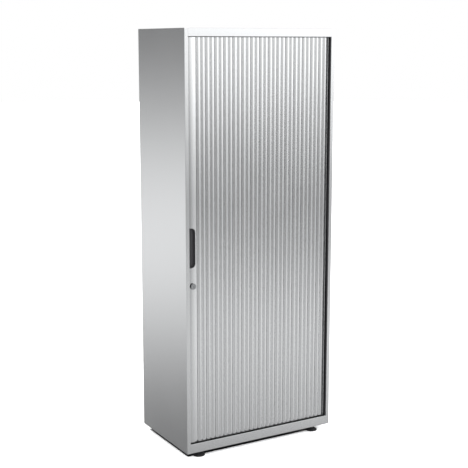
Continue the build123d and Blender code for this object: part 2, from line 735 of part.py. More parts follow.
def foot_pad(x, y):
    """Plastic pad with flats round its edge, sloping up to the stud's hexagon."""
    edge = Pos(x, y) * RegularPolygon(PAD_DIAMETER / 2, PAD_SIDES)
    rise_up = PAD_HEIGHT - PAD_EDGE
    draw_in = (PAD_DIAMETER - PAD_COLLAR) / 2 * math.cos(math.pi / PAD_SIDES)
    taper = math.degrees(math.atan2(draw_in, rise_up))
    slope = extrude(Pos(0, 0, PAD_EDGE) * edge, rise_up, taper=taper)
    return rise(edge, 0, PAD_EDGE) + slope


def foot_stud(x, y):
    """Threaded stud on the hexagon that turns it."""
    hexagon_top = BASE - STUD_HEX_GAP
    top = IN_BASE + NUT_PLATE_THICK + STUD_PAST
    stud = rise(Pos(x, y) * Circle(STUD / 2), hexagon_top, top)
    return stud + rise(Pos(x, y) * hexagon(STUD_HEX), PAD_HEIGHT, hexagon_top)


def nodes():
    """Every separate piece or group of pieces, by node name."""
    made = {
        "left_side_panel": side_panel(-1),
        "right_side_panel": side_panel(1),
        "top_panel": top_panel(),
        "base_panel": base_panel(),
        "back_panel": back_panel(),
        "pocket_side_liner": pocket_side_liner(),
        "pocket_back_liner": pocket_back_liner(),
        "corner_tracks": corner_tracks(),
        "floor_tray": floor_tray(),
        "left_front_post": post(-1, FRONT_POST_Y),
        "left_rear_post": post(-1, REAR_POST_Y),
        "right_front_post": post(1, FRONT_POST_Y),
        "right_rear_post": post(1, REAR_POST_Y),
        "shelf_clips": shelf_clips(),
        "right_edge_seal": right_edge_seal(),
        "nose_trim": nose_trim(),
        "closing_buffers": closing_buffers(),
        "lock_strike": lock_strike(),
        "foot_nuts": foot_nuts(),
        "lead_slat": lead_slat(),
        "lead_guides": lead_guides(),
        "handle_cup": handle_cup(),
        "lock_housing": lock_housing(),
        "lock_nut": lock_nut(),
        "lock_plug": lock_plug(),
        "lock_cam": lock_cam(),
    }
    for run in ("front", "side", "back"):
        made[f"top_{run}_track"] = track(run, top=True)
        made[f"bottom_{run}_track"] = track(run, top=False)
    for number in range(1, SHELF_COUNT + 1):
        made[f"shelf_{number}"] = shelf(number)
    for index in range(1, SLAT_COUNT + 1):
        made[f"slat_{index:02d}"] = slat(index)
    made["curtain_tail"] = curtain_tail()
    for place, (x, y) in foot_places().items():
        made[f"foot_pad_{place}"] = foot_pad(x, y)
        made[f"foot_stud_{place}"] = foot_stud(x, y)
    return made


os.makedirs("parts", exist_ok=True)
for name, shape in nodes().items():
    solids = shape if isinstance(shape, list) else shape.solids()
    export_step(Compound(children=list(solids)) if len(solids) > 1 else solids[0], f"parts/{name}.step")
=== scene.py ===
"""Dresses the tambour cupboard: folded sheet case, ribbed curtain, pull, lock and levelling feet.

Every length is in metres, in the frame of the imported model: the origin is on the floor under the middle of
the case, the front faces -Y and +Z is up.
"""

from __future__ import annotations

import json
import logging
import math
from collections.abc import Callable, Mapping, Sequence
from dataclasses import dataclass, field, replace
from enum import Enum

import bmesh
import bpy
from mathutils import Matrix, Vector

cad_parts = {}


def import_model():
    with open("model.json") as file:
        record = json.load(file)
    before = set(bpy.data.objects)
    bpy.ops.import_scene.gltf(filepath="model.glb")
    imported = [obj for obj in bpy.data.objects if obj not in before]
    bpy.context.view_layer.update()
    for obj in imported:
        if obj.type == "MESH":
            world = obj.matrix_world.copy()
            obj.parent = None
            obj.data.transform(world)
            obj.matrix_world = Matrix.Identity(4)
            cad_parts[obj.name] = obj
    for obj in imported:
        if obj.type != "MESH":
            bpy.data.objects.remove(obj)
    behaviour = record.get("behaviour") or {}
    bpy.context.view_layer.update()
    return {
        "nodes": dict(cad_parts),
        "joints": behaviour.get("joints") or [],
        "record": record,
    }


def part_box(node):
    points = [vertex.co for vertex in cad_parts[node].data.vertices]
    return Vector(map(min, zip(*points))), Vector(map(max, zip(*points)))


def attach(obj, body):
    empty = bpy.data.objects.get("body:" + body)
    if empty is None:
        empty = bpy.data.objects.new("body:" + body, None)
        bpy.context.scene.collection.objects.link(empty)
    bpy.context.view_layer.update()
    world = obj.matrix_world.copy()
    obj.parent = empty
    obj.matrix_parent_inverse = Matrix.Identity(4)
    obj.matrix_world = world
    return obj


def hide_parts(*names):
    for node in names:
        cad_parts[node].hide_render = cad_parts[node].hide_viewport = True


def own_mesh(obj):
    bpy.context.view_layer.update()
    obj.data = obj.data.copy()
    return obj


LOG = logging.getLogger("cupboard")

Point = tuple[float, float, float]
Colour = tuple[float, float, float]
Levels = tuple[tuple[float, float], ...]
Test = Callable[[list[Vector], Vector], bool]
Piece = bpy.types.Object
Tree = bpy.types.NodeTree
Node = bpy.types.Node
Socket = bpy.types.NodeSocket
Feeds = Mapping[str | int, object]

# Places closer than TOUCH are the same, and points closer than MERGE become one. An edge runs along an axis
# if its cosine to it is over PARALLEL, and it is level if it rises by less than LEVEL of its length.
TOUCH = 1e-5
MERGE = 1e-6
PARALLEL = 0.999
LEVEL = 0.01
FRONT_TO_BACK: Point = (math.pi / 2, 0, 0)


class Part(Enum):
    """What is picked in edit mode."""

    POINT = "VERT"
    EDGE = "EDGE"
    FACE = "FACE"


class Body(Enum):
    """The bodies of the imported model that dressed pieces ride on, apart from the feet."""

    CARCASS = "carcass"
    SHUTTER = "shutter"
    LOCK = "lock"


# Bench work: small steps that every piece shares


def lay_down_all() -> None:
    """Leaves edit mode and deselects every object."""
    if bpy.context.object and bpy.context.object.mode != "OBJECT":
        bpy.ops.object.mode_set(mode="OBJECT")
    bpy.ops.object.select_all(action="DESELECT")


def take(piece: Piece) -> None:
    """Makes a piece the only selected and active one."""
    lay_down_all()
    piece.select_set(True)
    bpy.context.view_layer.objects.active = piece


def settle(piece: Piece) -> Piece:
    """Moves a piece's place, turn and scale into its mesh, and returns the piece."""
    take(piece)
    bpy.ops.object.transform_apply(location=True, rotation=True, scale=True)
    return piece


def edit(piece: Piece) -> Piece:
    """Opens a piece in edit mode with everything deselected, and returns the piece."""
    take(piece)
    bpy.ops.object.mode_set(mode="EDIT")
    bpy.ops.mesh.select_all(action="DESELECT")
    return piece


def pick(piece: Piece, part: Part, test: Test) -> int:
    """Selects parts of a mesh in edit mode by place and direction.

    Args:
        piece: The object in edit mode.
        part: What kind of part to select.
        test: Says yes or no to a part's corner points and its normal. An edge's normal is its direction.

    Returns:
        How many parts were selected.
    """
    bpy.ops.mesh.select_mode(type=part.value)
    bpy.ops.mesh.select_all(action="DESELECT")
    mesh = bmesh.from_edit_mesh(piece.data)
    groups = {Part.POINT: mesh.verts, Part.EDGE: mesh.edges, Part.FACE: mesh.faces}
    count = 0
    for item in groups[part]:
        corners = [item.co] if part is Part.POINT else [v.co for v in item.verts]
        normal = (corners[1] - corners[0]).normalized() if part is Part.EDGE else item.normal
        if test(corners, normal):
            item.select_set(True)
            count += 1
    mesh.select_flush_mode()
    bmesh.update_edit_mesh(piece.data)
    return count


def before(y: float) -> Test:
    """Tests whether a part lies wholly at a depth or in front of it."""
    return lambda corners, _: max(c.y for c in corners) < y + TOUCH


def behind(y: float) -> Test:
    """Tests whether a part lies wholly at a depth or behind it."""
    return lambda corners, _: min(c.y for c in corners) > y - TOUCH


def close(piece: Piece, smooth_under: float = 32.0) -> Piece:
    """Ends edit mode: merges doubled points, turns faces outwards and smooths gentle edges.

    Args:
        piece: The object in edit mode.
        smooth_under: Edges flatter than this, in degrees, are shaded smooth.

    Returns:
        The same object, in object mode.
    """
    bpy.ops.mesh.select_all(action="SELECT")
    bpy.ops.mesh.remove_doubles(threshold=MERGE)
    bpy.ops.mesh.normals_make_consistent(inside=False)
    return smooth(piece, smooth_under)


def smooth(piece: Piece, smooth_under: float) -> Piece:
    """Shades a piece smooth where edges are flatter than so many degrees, and returns it."""
    take(piece)
    bpy.ops.object.shade_smooth_by_angle(angle=math.radians(smooth_under))
    return piece


def finish_with(piece: Piece, kind: str, **settings: object) -> Piece:
    """Adds one modifier to a piece and applies it.

    Args:
        piece: The object to change.
        kind: Blender's name of the modifier type.
        settings: The modifier's properties.

    Returns:
        The same object.
    """
    take(piece)
    modifier = piece.modifiers.new(kind.lower(), kind)
    for key, value in settings.items():
        setattr(modifier, key, value)
    bpy.ops.object.modifier_apply(modifier=modifier.name)
    return piece


def even(piece: Piece) -> Piece:
    """Keeps broad faces evenly shaded up to the rounded edges beside them."""
    return finish_with(piece, "WEIGHTED_NORMAL", keep_sharp=True)


def thicken(skin: Piece, wall: float, side: float = -1.0) -> Piece:
    """Gives a skin its thickness, on its inner side or, at 1.0, on its outer side."""
    finish_with(skin, "SOLIDIFY", thickness=wall, offset=side, use_even_offset=True)
    return smooth(skin, 40)


def box_piece(low: Sequence[float], high: Sequence[float]) -> Piece:
    """Starts a piece as a block between two opposite corners.

    Args:
        low: Lowest corner.
        high: Highest corner.

    Returns:
        The new object.
    """
    lay_down_all()
    bpy.ops.mesh.primitive_cube_add(size=1, location=[(a + b) / 2 for a, b in zip(low, high)])
    piece = bpy.context.object
    piece.scale = [b - a for a, b in zip(low, high)]
    return settle(piece)


def bar_piece(start: Point, length: float, radius: float, sides: int, upright: bool = False) -> Piece:
    """Starts a piece as a round or many-sided bar, which runs to the rear or stands up.

    Args:
        start: Middle of its front or lower end.
        length: Length along the axis.
        radius: Radius over the corners.
        sides: Number of sides.
        upright: Whether it stands up.

    Returns:
        The new object.
    """
    lay_down_all()
    x, y, z = start
    middle, turn = ((x, y, z + length / 2), (0, 0, 0)) if upright else ((x, y + length / 2, z), FRONT_TO_BACK)
    bpy.ops.mesh.primitive_cylinder_add(
        vertices=sides, radius=radius, depth=length, location=middle, rotation=turn
    )
    return settle(bpy.context.object)


def upright_edge(x: float, y: float, low: float, high: float) -> Piece:
    """Starts a piece as one upright edge, ready to be swept.

    Args:
        x: Its place across.
        y: Its depth.
        low: Its lower end.
        high: Its upper end.

    Returns:
        The new object, in edit mode with the edge selected.
    """
    lay_down_all()
    tall = high - low
    middle = (x + tall / 2, y, (low + high) / 2)
    bpy.ops.mesh.primitive_plane_add(size=tall, location=middle, rotation=FRONT_TO_BACK)
    piece = edit(settle(bpy.context.object))
    pick(piece, Part.POINT, lambda corners, _: corners[0].x > x + tall / 2)
    bpy.ops.mesh.delete(type="VERT")
    bpy.ops.mesh.select_mode(type=Part.EDGE.value)
    bpy.ops.mesh.select_all(action="SELECT")
    return piece


def arch(half: float, rise: float) -> tuple[float, float]:
    """Works out an arch's radius, and its sweep in degrees, from half its width and its rise."""
    radius = (half * half + rise * rise) / (2 * rise)
    return radius, 2 * math.degrees(math.atan2(half, radius - rise))


def sweep(centre: Point, degrees: float, steps: int) -> None:
    """Spins what is selected about an upright axis, in so many steps."""
    bpy.ops.mesh.spin(steps=steps, angle=-math.radians(degrees), center=centre, axis=(0, 0, 1))


def pull(x: float = 0.0, y: float = 0.0, z: float = 0.0) -> None:
    """Extrudes what is selected by a straight move."""
    bpy.ops.mesh.extrude_region_move(TRANSFORM_OT_translate={"value": (x, y, z)})


def round_off(radius: float, steps: int) -> None:
    """Rounds the selected edges."""
    bpy.ops.mesh.bevel(offset=radius, segments=steps, profile=0.5, affect="EDGES")


def cut(piece: Piece, tool: Piece) -> Piece:
    """Cuts one closed piece out of another and removes the tool.

    Args:
        piece: The object that is cut.
        tool: The object that cuts.

    Returns:
        The cut object.
    """
    finish_with(piece, "BOOLEAN", operation="DIFFERENCE", solver="EXACT", object=tool)
    bpy.data.objects.remove(tool, do_unlink=True)
    return piece


def join(pieces: Sequence[Piece]) -> Piece:
    """Joins several pieces into the first.

    Args:
        pieces: The objects, of which the first keeps its name.

    Returns:
        The joined object.
    """
    take(pieces[0])
    for other in pieces[1:]:
        other.select_set(True)
    bpy.ops.object.join()
    return pieces[0]


def copy_of(piece: Piece, move: Point) -> Piece:
    """Copies a piece with its own mesh and moves the copy's mesh.

    Args:
        piece: The object to copy.
        move: How far the copy's mesh is moved.

    Returns:
        The copy.
    """
    take(piece)
    bpy.ops.object.duplicate(linked=False)
    made = bpy.context.object
    made.location = move
    return settle(made)


# Finishes


def grey(level: float) -> tuple[float, float, float, float]:
    """Makes an opaque grey."""
    return level, level, level, 1.0


def feed(tree: Tree, node: Node, feeds: Feeds) -> None:
    """Gives a node's inputs what they need.

    Args:
        tree: The nodes that it belongs to.
        node: The node.
        feeds: A socket to link or a value to set, by the input's name or number.
    """
    for key, value in feeds.items():
        if isinstance(value, bpy.types.NodeSocket):
            tree.links.new(value, node.inputs[key])
        else:
            node.inputs[key].default_value = value


def add(tree: Tree, kind: str, feeds: Feeds | None = None, **settings: object) -> Node:
    """Adds a node to a tree.

    Args:
        tree: The nodes that it joins.
        kind: Blender's name of the node type.
        feeds: As for feed().
        settings: The node's own properties.

    Returns:
        The new node.
    """
    node = tree.nodes.new(kind)
    for key, value in settings.items():
        setattr(node, key, value)
    feed(tree, node, feeds or {})
    return node


@dataclass(frozen=True)
class Finish:
    """A surface made of noise-driven colour, sheen and relief on Object coordinates."""

    name: str
    colour: Colour
    metallic: float
    roughness: float
    grain_size: float
    grain_shade: float
    grain_relief: float
    cloud_size: float = 0.25
    cloud_shade: float = 0.03
    roughness_spread: float = 0.03
    specular: float = 0.5

    def _noise(self, tree: Tree, size: float, detail: float) -> Socket:
        """Adds a noise on Object coordinates with features of about the given size."""
        place = add(tree, "ShaderNodeTexCoord").outputs["Object"]
        feeds = {"Vector": place, "Scale": 1.0 / size, "Detail": detail}
        return add(tree, "ShaderNodeTexNoise", feeds).outputs["Fac"]

    def _band(self, tree: Tree, noise: Socket, middle: float, spread: float) -> Socket:
        """Maps a noise to a band about a middle value."""
        ends = {"From Min": 0.3, "From Max": 0.7, "To Min": middle - spread, "To Max": middle + spread}
        return add(tree, "ShaderNodeMapRange", {"Value": noise, **ends}).outputs["Result"]

    def build(self) -> bpy.types.Material:
        """Makes the material.

        Returns:
            The new material, named after the finish.
        """
        material = bpy.data.materials.new(self.name)
        material.use_nodes = True
        tree = material.node_tree
        fine = self._noise(tree, self.grain_size, 3.0)
        cloud = self._noise(tree, self.cloud_size, 2.0)
        factors = {
            0: self._band(tree, fine, 1.0, self.grain_shade),
            1: self._band(tree, cloud, 1.0, self.cloud_shade),
        }
        share = add(tree, "ShaderNodeMath", factors, operation="MULTIPLY").outputs[0]
        tint = add(tree, "ShaderNodeVectorMath", {0: self.colour, "Scale": share}, operation="SCALE")
        relief = {"Strength": self.grain_relief, "Distance": self.grain_size / 8, "Height": fine}
        feeds = {
            "Metallic": self.metallic,
            "Specular IOR Level": self.specular,
            "Base Color": tint.outputs["Vector"],
            "Roughness": self._band(tree, cloud, self.roughness, self.roughness_spread),
            "Normal": add(tree, "ShaderNodeBump", relief).outputs["Normal"],
        }
        feed(tree, tree.nodes["Principled BSDF"], feeds)
        return material


SATIN = Finish(
    "satin_slat", (0.76, 0.77, 0.78), 0.95, 0.21, 0.0014, 0.012, 0.005, cloud_shade=0.01, roughness_spread=0.008
)

# By the record's slot names. The last two are for pieces whose slot has another finish.
FINISHES = {
    "case_paint": replace(SATIN, name="silver_case_paint", colour=(0.74, 0.75, 0.76), grain_size=0.0016),
    "inner_paint": Finish("silver_inner_paint", (0.72, 0.73, 0.74), 0.55, 0.38, 0.0022, 0.04, 0.05),
    "slat_plastic": SATIN,
    "lead_paint": replace(SATIN, name="satin_lead_slat"),
    "black_plastic": Finish("black_moulding", (0.022, 0.022, 0.026), 0.0, 0.38, 0.0012, 0.15, 0.12),
    "track_plastic": Finish("dark_channel", (0.07, 0.07, 0.08), 0.0, 0.35, 0.0015, 0.10, 0.05),
    "pad_plastic": Finish("foot_moulding", (0.025, 0.025, 0.027), 0.0, 0.45, 0.0012, 0.20, 0.20),
    "rubber": Finish("matt_rubber", (0.007, 0.007, 0.008), 0.0, 0.75, 0.0010, 0.20, 0.25, specular=0.12),
    "zinc": Finish("bright_zinc", (0.72, 0.71, 0.68), 1.0, 0.32, 0.0040, 0.10, 0.04, cloud_shade=0.08),
    "lock_chrome": Finish("polished_lock", (0.42, 0.43, 0.44), 1.0, 0.20, 0.0030, 0.04, 0.01, cloud_size=0.01),
    # The hinge parts between the slats are darkened to paint the shade in the seams.
    "hinge_painted_shade": Finish("hinge_painted_shade_finish", (0.07, 0.07, 0.075), 0.3, 0.35, 0.0012, 0.08, 0.04),
    "pull_moulding": Finish("pull_moulding", (0.048, 0.048, 0.052), 0.0, 0.30, 0.0012, 0.10, 0.08),
}


@dataclass
class Paintshop:
    """Builds each finish once and gives it to pieces by its name in FINISHES."""

    made: dict[str, bpy.types.Material] = field(default_factory=dict)

    def coat(self, piece: Piece, finish: str) -> None:
        """Gives a piece one finish all over.

        Args:
            piece: The object to finish.
            finish: The finish's key in FINISHES.
        """
        if finish not in self.made:
            self.made[finish] = FINISHES[finish].build()
        piece.data.materials.clear()
        piece.data.materials.append(self.made[finish])

    def hand_over(
        self, piece: Piece, name: str, slot: str,
        nodes: Sequence[str] = (), body: str = Body.CARCASS.value, finish: str = "",
    ) -> None:
        """Names and finishes a modelled piece and puts it on its body.

        Args:
            piece: The object, in place.
            name: What it is called.
            slot: The record's slot name.
            nodes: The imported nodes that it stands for.
            body: The body that it rides on.
            finish: The finish's key, where it isn't the slot's name.
        """
        lay_down_all()
        piece.name = piece.data.name = name
        self.coat(piece, finish or slot)
        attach(piece, body)
        if nodes:
            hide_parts(*nodes)
        LOG.info("%s: %d faces on %s", piece.name, len(piece.data.polygons), body)


# Case


@dataclass
class Case:
    """Folded sheet case: four panels with rounded folds, rivets on the rear flanges and black brush strips,
    which also paint the shade lines under the top rail, above the sill and in the gap beside the curtain.
    """

    shop: Paintshop
    nodes: dict[str, Piece]
    fold: float = 0.0012
    fold_steps: int = 3
    stile: float = 0.018
    rail: float = 0.037
    sill: float = 0.044
    hem: float = 0.0032
    flange: float = 0.015
    rivet_spacing: float = 0.235
    rivet_radius: float = 0.0030
    rivet_height: float = 0.0011
    brush_show: float = 0.0022
    brush_deep: float = 0.008
    brush_thick: float = 0.004
    brush_round: float = 0.0006
    edge_brush_reach: float = 0.0058
    edge_brush_bite: float = 0.0005
    edge_brush_front: float = 0.0012
    edge_brush_rear: float = 0.0003

    def build(self) -> None:
        """Makes the panels, the rivets and the brushes."""
        self.left, self.front, self.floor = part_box("left_side_panel")[0]
        self.right, self.rear, self.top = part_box("right_side_panel")[1]
        for node in ("left_side_panel", "right_side_panel"):
            self._panel(node, self._is_upright_fold)
        for node in ("top_panel", "base_panel"):
            self._panel(node, self._is_level_fold)
        self._rivets()
        # These two strips also paint the shade lines under the top rail and above the sill.
        self._rail_brush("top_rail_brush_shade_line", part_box("top_panel")[1].z - self.rail, -1)
        self._rail_brush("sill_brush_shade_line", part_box("base_panel")[0].z + self.sill, 1)
        # This strip also paints the shade in the gap beside the curtain.
        self._edge_brush()

    def _rail_brush(self, name: str, edge: float, outward: int) -> None:
        """Sets a black brush strip behind a rail, which also paints the shade line along the rail's edge.

        Args:
            name: The strip's name.
            edge: Height of the rail's edge.
            outward: 1 if the strip shows above the edge, -1 if it shows below.
        """
        low, high = sorted((edge + outward * self.brush_show, edge - outward * self.brush_deep))
        left, right = self.left + self.stile, self.right - self.stile
        front = self.front + self.hem
        self._strip(name, (left, front, low), (right, front + self.brush_thick, high), 0)

    def _edge_brush(self) -> None:
        """Sets a black brush strip on the edge seal, which reaches towards the curtain and also paints the
        shade in the gap there.
        """
        low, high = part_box("right_edge_seal")
        start = (low.x - self.edge_brush_reach, low.y + self.edge_brush_front, low.z)
        end = (low.x + self.edge_brush_bite, high.y - self.edge_brush_rear, high.z)
        self._strip("edge_brush", start, end, 2)

    def _strip(self, name: str, low: Point, high: Point, axis: int) -> None:
        """Models a strip with rounded long edges.

        Args:
            name: The strip's name.
            low: Lowest corner.
            high: Highest corner.
            axis: The axis that it runs along, 0 for X and 2 for Z.
        """
        strip = edit(box_piece(low, high))
        pick(strip, Part.EDGE, lambda _, along: abs(along[axis]) > PARALLEL)
        round_off(self.brush_round, 2)
        self.shop.hand_over(close(strip), name, "rubber")

    def _panel(self, node: str, is_fold: Test) -> None:
        """Copies a packed panel's mesh, opens its flat areas into whole faces and rounds its folds.

        Args:
            node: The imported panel's name.
            is_fold: Says whether an edge is one of its folds.
        """
        panel = bpy.data.objects.new(node, self.nodes[node].data.copy())
        bpy.context.scene.collection.objects.link(panel)
        edit(panel)
        bpy.ops.mesh.customdata_custom_splitnormals_clear()
        bpy.ops.mesh.select_all(action="SELECT")
        bpy.ops.mesh.remove_doubles(threshold=MERGE)
        bpy.ops.mesh.dissolve_limited(angle_limit=math.radians(0.5))
        count = pick(panel, Part.EDGE, is_fold)
        round_off(self.fold, self.fold_steps)
        LOG.info("%s: %d folds rounded", node, count)
        self.shop.hand_over(even(close(panel)), node + "_folded", "case_paint", [node])

    def _is_upright_fold(self, corners: list[Vector], along: Vector) -> bool:
        """Says whether an edge is a side panel's front, rear or hem fold.

        Args:
            corners: The edge's ends.
            along: Its direction.

        Returns:
            Whether it is a fold.
        """
        x, y = abs(corners[0].x), corners[0].y
        front, rear = abs(y - self.front) < TOUCH, abs(y - self.rear) < TOUCH
        side = abs(x - self.right) < TOUCH
        hem = abs(x - (self.right - self.stile)) < TOUCH
        return abs(along.z) > PARALLEL and ((side and (front or rear)) or (front and hem))

    def _is_level_fold(self, corners: list[Vector], along: Vector) -> bool:
        """Says whether an edge is a level fold of the top or base panel.

        Args:
            corners: The edge's ends.
            along: Its direction.

        Returns:
            Whether it is a fold.
        """
        y, z = corners[0].y, corners[0].z
        outer = min(abs(z - self.top), abs(z - self.floor)) < TOUCH
        ends = abs(y - self.rear) < TOUCH and outer
        return abs(along.x) > PARALLEL and (ends or abs(y - self.front) < TOUCH)

    def _rivet(self) -> Piece:
        """Models one pop rivet's head with the broken stem's dimple, at the origin facing +Y.

        Returns:
            The new piece.
        """
        rivet = edit(bar_piece((0.0, 0.0, 0.0), self.rivet_height, self.rivet_radius, 16))
        pick(rivet, Part.EDGE, behind(self.rivet_height))
        round_off(self.rivet_height * 0.8, 3)
        pick(rivet, Part.FACE, behind(self.rivet_height))
        bpy.ops.mesh.inset(thickness=self.rivet_radius / 4)
        pull(y=-self.rivet_height / 2)
        return close(rivet)

    def _rivets(self) -> None:
        """Sets rivets along the four rear flanges."""
        half = self.flange / 2
        low, high = self.floor + half, self.top - half
        left, right = self.left + half, self.right - half
        rows = round((high - low) / self.rivet_spacing)
        columns = round((right - left) / self.rivet_spacing)
        heights = [low + (high - low) * row / rows for row in range(rows + 1)]
        places = [(x, self.rear, z) for x in (left, right) for z in heights]
        for column in range(1, columns):
            x = left + (right - left) * column / columns
            places += [(x, self.rear, low), (x, self.rear, high)]
        pattern = self._rivet()
        rivets = [copy_of(pattern, place) for place in places]
        bpy.data.objects.remove(pattern, do_unlink=True)
        self.shop.hand_over(join(rivets), "back_rivets", "zinc")


# Curtain


@dataclass
class Knuckle:
    """The hinge between two slats: a bead on a neck, and the hooked socket that it turns in."""

    y: float
    low: float
    high: float
    bead: float = 0.0013
    bore: float = 0.00155
    wall: float = 0.00085
    neck: float = 0.0008
    gap: float = 0.0005
    sides: int = 16

    @classmethod
    def end_wall(cls, bead_x: float) -> float:
        """Says where a slat ends on its right, clear of the socket round its bead."""
        return bead_x - (cls.bore + cls.wall) - cls.gap

    def bead_piece(self, x: float, root: float) -> Piece:
        """Models a bead with the neck that reaches left to a slat's end wall.

        Args:
            x: Place of the bead.
            root: Where the neck ends on the left.

        Returns:
            The new piece.
        """
        bead = bar_piece((x, self.y, self.low), self.high - self.low, self.bead, self.sides, upright=True)
        half = self.neck / 2
        neck = box_piece((root, self.y - half, self.low), (x, self.y + half, self.high))
        return join([smooth(bead, 40), neck])

    def socket_piece(self, x: float) -> Piece:
        """Models the socket as a bent wall that is open to the left.

        Args:
            x: Place of the bead.

        Returns:
            The new piece.
        """
        mouth = math.asin((self.neck / 2 + self.bore - self.bead) / self.bore)
        start_x, start_y = x - self.bore * math.cos(mouth), self.y - self.bore * math.sin(mouth)
        wall = upright_edge(start_x, start_y, self.low, self.high)
        sweep((x, self.y, 0), 360 - 2 * math.degrees(mouth), self.sides)
        return thicken(close(wall, 60), self.wall, 1.0)


@dataclass
class Curtain:
    """Fifteen slats of two arched ribs each, the knuckles between them, darkened as painted shade in the seams,
    and the tail's narrow rib.
    """

    shop: Paintshop
    joints: list[dict]
    joint: str = "shutter_slide"
    count: int = 15
    rib_depth: float = 0.004
    wall: float = 0.0014
    seam: float = 0.0010
    tuck: float = 0.0012
    tail_wall: float = 0.0008
    tail_sunk: float = 0.0002
    rib_steps: int = 12

    def build(self) -> None:
        """Models the first slat and copies it along the curtain."""
        low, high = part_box("slat_01")
        self.crest, self.low, self.high = low.y, low.z, high.z
        self.hinge = high.y - Knuckle.bore - Knuckle.wall
        self.first = low.x + Knuckle.bore
        self.pitch = high.x - Knuckle.bead - self.first
        self.end = Knuckle.end_wall(self.first + self.pitch)
        slats, hinges = [self._slat()], [self._hinge()]
        for index in range(1, self.count):
            for row in (slats, hinges):
                row.append(copy_of(row[0], (index * self.pitch, 0, 0)))
        hinges.append(self._lead_hinge())
        names = [f"slat_hinge_{number:02d}" for number in range(1, self.count + 1)] + ["lead_hinge"]
        for number, slat in enumerate(slats, start=1):
            self.shop.hand_over(slat, f"ribbed_slat_{number:02d}", "slat_plastic", [f"slat_{number:02d}"])
        for name, hinge in zip(names, hinges):
            # The hinges take the darkened finish that paints the seams' shade.
            self.shop.hand_over(hinge, name, "black_plastic", finish="hinge_painted_shade")
        for piece in slats + hinges:
            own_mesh(piece)
        self._last_rib()

    def _ribs(self, start: float, end: float, base: float, count: int, wall: float) -> Piece:
        """Sweeps a row of ribs from an upright edge and gives them their thickness.

        Args:
            start: Where the row starts on the left.
            end: Where it ends.
            base: Depth of the ribs' feet, behind their crests.
            count: How many ribs there are.
            wall: Their thickness.

        Returns:
            The new piece.
        """
        half = (end - start) / (2 * count)
        radius, turn = arch(half, base - self.crest)
        skin = upright_edge(start, base, self.low, self.high)
        for number in range(count):
            middle = start + (2 * number + 1) * half
            sweep((middle, self.crest + radius, 0), turn, self.rib_steps)
        return thicken(close(skin, 40), wall)

    def _slat(self) -> Piece:
        """Models the first slat's two ribs."""
        start = self.end + self.seam - self.pitch
        return self._ribs(start, self.end, self.crest + self.rib_depth, 2, self.wall)

    def _last_rib(self) -> None:
        """Models the narrow rib on the curtain's tail, which runs in behind the edge seal."""
        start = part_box(f"slat_{self.count:02d}")[1].x + self.seam
        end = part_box("right_edge_seal")[0].x + self.tuck
        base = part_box("curtain_tail")[0].y + self.tail_sunk
        self.shop.hand_over(self._ribs(start, end, base, 1, self.tail_wall), "tail_rib", "slat_plastic")

    def _hinge(self) -> Piece:
        """Models the first slat's hinge parts, darkened as painted shade in the seams: the socket on its left
        and the bead on its right.
        """
        knuckle = Knuckle(self.hinge, self.low, self.high)
        bead = knuckle.bead_piece(self.first + self.pitch, self.end - self.wall)
        return join([knuckle.socket_piece(self.first), bead])

    def _lead_hinge(self) -> Piece:
        """Models the bead on the lead slat's right, darkened as painted shade in the seam, which the first
        slat's socket holds.
        """
        low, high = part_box("lead_slat")
        bead_x = high.x - Knuckle.bead
        return Knuckle(self.hinge, low.z, high.z).bead_piece(bead_x, Knuckle.end_wall(bead_x) - LeadSlat.wall)


@dataclass
class LeadSlat:
    """The leading slat: an arched bar with the pull's pocket and the lock's flat spot."""

    shop: Paintshop
    crown: float = 0.0045
    steps: int = 24
    wall: float = 0.0018
    side_round: float = 0.0006
    slack: float = 0.0002
    lock_land: float = 0.0010
    cutter_reach: float = 0.010

    def build(self) -> None:
        """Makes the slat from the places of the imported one, the pull and the lock."""
        low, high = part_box("lead_slat")
        slat = self._bar(low, Vector((Knuckle.end_wall(high.x - Knuckle.bead), high.y, high.z)))
        front = low.y - self.cutter_reach
        cut(slat, rounded_mouth(self.slack, front, high.y - self.wall))
        lock_low, lock_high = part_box("lock_housing")
        spot = ((lock_low.x + lock_high.x) / 2, front, (lock_low.z + lock_high.z) / 2)
        cut(slat, bar_piece(spot, self.cutter_reach + self.lock_land, Lock.head + self.slack, 64))
        even(smooth(slat, 30))
        self.shop.hand_over(slat, "arched_lead_slat", "lead_paint", ["lead_slat"], Body.SHUTTER.value)

    def _bar(self, low: Vector, high: Vector) -> Piece:
        """Sweeps the arched face, closes the bar behind it and rounds its long edges.

        Args:
            low: The bar's lowest corner.
            high: The bar's highest corner.

        Returns:
            The new piece.
        """
        half = (high.x - low.x) / 2
        radius, turn = arch(half, self.crown)
        edge_y = low.y + self.crown
        bar = upright_edge(low.x, edge_y, low.z, high.z)
        sweep((low.x + half, low.y + radius, 0), turn, self.steps)
        pull(y=high.y - edge_y)
        pull(x=low.x - high.x)
        pull(y=edge_y - high.y)
        bpy.ops.mesh.select_all(action="SELECT")
        bpy.ops.mesh.remove_doubles(threshold=TOUCH)
        for end in (low.z, high.z):
            pick(bar, Part.EDGE, lambda corners, _: all(abs(c.z - end) < TOUCH for c in corners))
            bpy.ops.mesh.edge_face_add()

        def is_side(corners: list[Vector], along: Vector) -> bool:
            """Says whether an edge is where the arched face meets a side."""
            x, y = corners[0].x, corners[0].y
            on_side = min(abs(x - low.x), abs(x - high.x)) < TOUCH
            return abs(along.z) > PARALLEL and on_side and abs(y - edge_y) < TOUCH

        pick(bar, Part.EDGE, is_side)
        round_off(self.side_round, 3)
        return close(bar, 30)


